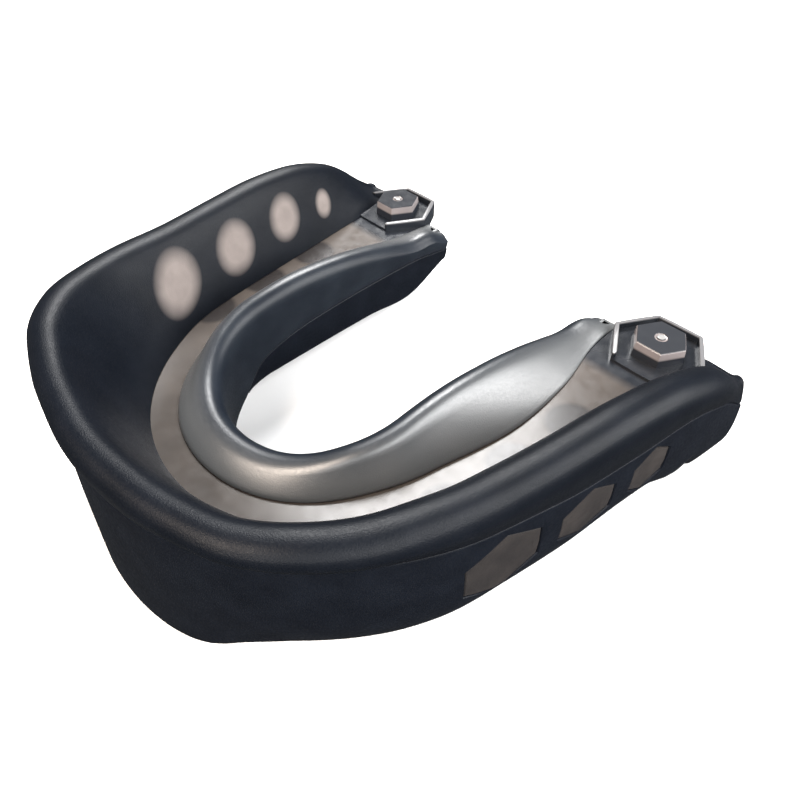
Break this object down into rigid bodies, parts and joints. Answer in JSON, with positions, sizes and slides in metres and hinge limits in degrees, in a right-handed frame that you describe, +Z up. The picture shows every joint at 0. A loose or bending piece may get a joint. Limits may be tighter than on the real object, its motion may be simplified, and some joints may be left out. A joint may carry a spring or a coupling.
{
  "type": "mouthguard",
  "caption": "U-shaped layered mouthguard: ribbed rubber outer frame with hexagonal side windows, gel-lined tooth channel, clear bite plate and hexagonal rear tabs.",
  "frame": {"origin": "centre of the guard's plan at the plane that it rests on", "axes": "+Z up towards the upper teeth, -Y towards the front of the mouth, +X towards the wearer's left"},
  "size_m": [0.0646, 0.0628, 0.021],
  "materials": {
    "frame_rubber": "satin moulded thermoplastic rubber, near-black navy, fine stipple",
    "dark_gel": "soft satin gel, near-black navy, slightly see-through where thin",
    "smoke_gel": "soft glossy gel, smoke grey, with a silvery sheen",
    "clear_core": "smoke-clear moulded plastic, satin, warm grey",
    "window_core": "smoke-clear moulded plastic, satin, brown-grey",
    "clear_stud": "smoke-clear moulded plastic, glossy, with bright edges",
    "pad_rubber": "matt firm rubber, near-black navy"
  },
  "bodies": {
    "root": {"outer_frame": "frame_rubber", "labial_gel_liner": "dark_gel", "lingual_gel_rim": "smoke_gel", "bite_plate": "clear_core", "window_panes_left": "window_core", "window_panes_right": "window_core", "rear_stud_left": "clear_stud", "rear_stud_right": "clear_stud", "jaw_pads_left": "pad_rubber", "jaw_pads_right": "pad_rubber"}
  },
  "joints": []
}
